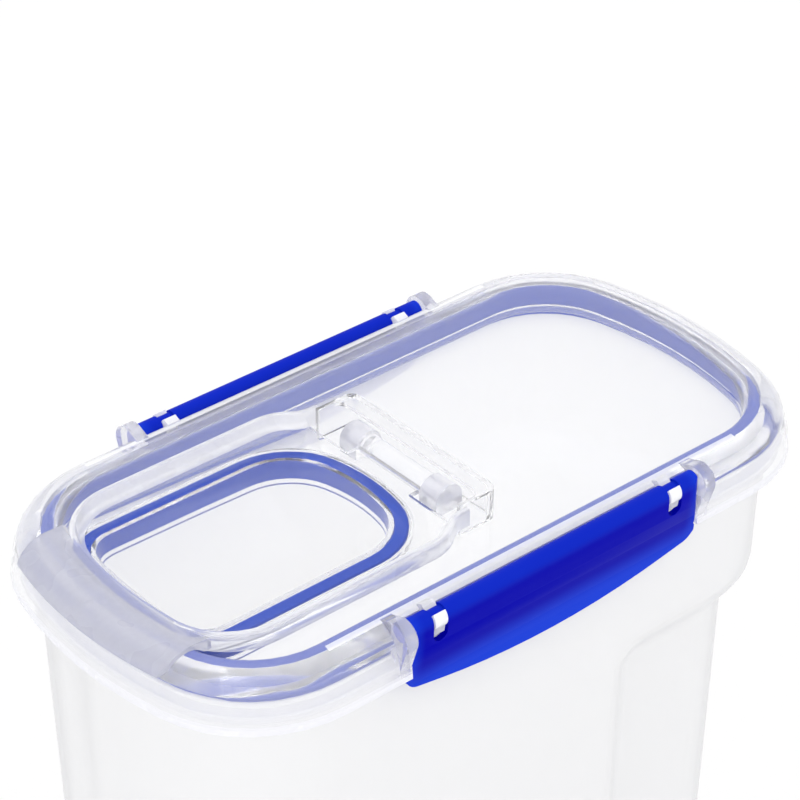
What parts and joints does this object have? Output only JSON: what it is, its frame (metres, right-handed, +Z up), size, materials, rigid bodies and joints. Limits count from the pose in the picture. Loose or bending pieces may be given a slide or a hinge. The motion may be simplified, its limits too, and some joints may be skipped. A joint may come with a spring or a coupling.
{
  "type": "dry food storage container",
  "caption": "Tall narrow food storage tub with a clip-down lid, a perimeter seal, a sealed flip-up pouring flap and a moulded hand grip.",
  "frame": {"origin": "centre of the plan outline, at the level of the foot that the container stands on", "axes": "+Z up, +X along the length from the pouring end to the grip end, +Y across the width towards the back clip"},
  "size_m": [0.237, 0.1308, 0.24],
  "materials": {
    "milky_plastic": "semi-gloss",
    "clear_plastic": "gloss",
    "seal_rubber": "satin",
    "blue_plastic": "gloss"
  },
  "bodies": {
    "tub": {"tub": "milky_plastic"},
    "lid": {"lid": "clear_plastic", "lid_seal": "seal_rubber"},
    "flap": {"flap": "clear_plastic", "flap_seal": "seal_rubber"},
    "clip_front": {"clip_front": "blue_plastic"},
    "clip_back": {"clip_back": "blue_plastic"}
  },
  "joints": [
    {"name": "lid_lift", "type": "slide", "parent": "tub", "child": "lid", "axis": [0, 0, 1], "range_m": [0, 0.02]},
    {"name": "flap_hinge", "type": "hinge", "parent": "lid", "child": "flap", "pos_m": [-0.0045, 0, 0.2341], "axis": [0, 1, 0], "range_deg": [0, 103]},
    {"name": "clip_front_hinge", "type": "hinge", "parent": "lid", "child": "clip_front", "pos_m": [0, -0.0602, 0.2354], "axis": [-1, 0, 0], "range_deg": [0, 110]},
    {"name": "clip_back_hinge", "type": "hinge", "parent": "lid", "child": "clip_back", "pos_m": [0, 0.0602, 0.2354], "axis": [1, 0, 0], "range_deg": [0, 110]}
  ],
  "couplings": [
    {"joint": "clip_front_hinge", "follows": "lid_lift", "rad_per_m": 95.9},
    {"joint": "clip_back_hinge", "follows": "lid_lift", "rad_per_m": 95.9}
  ]
}
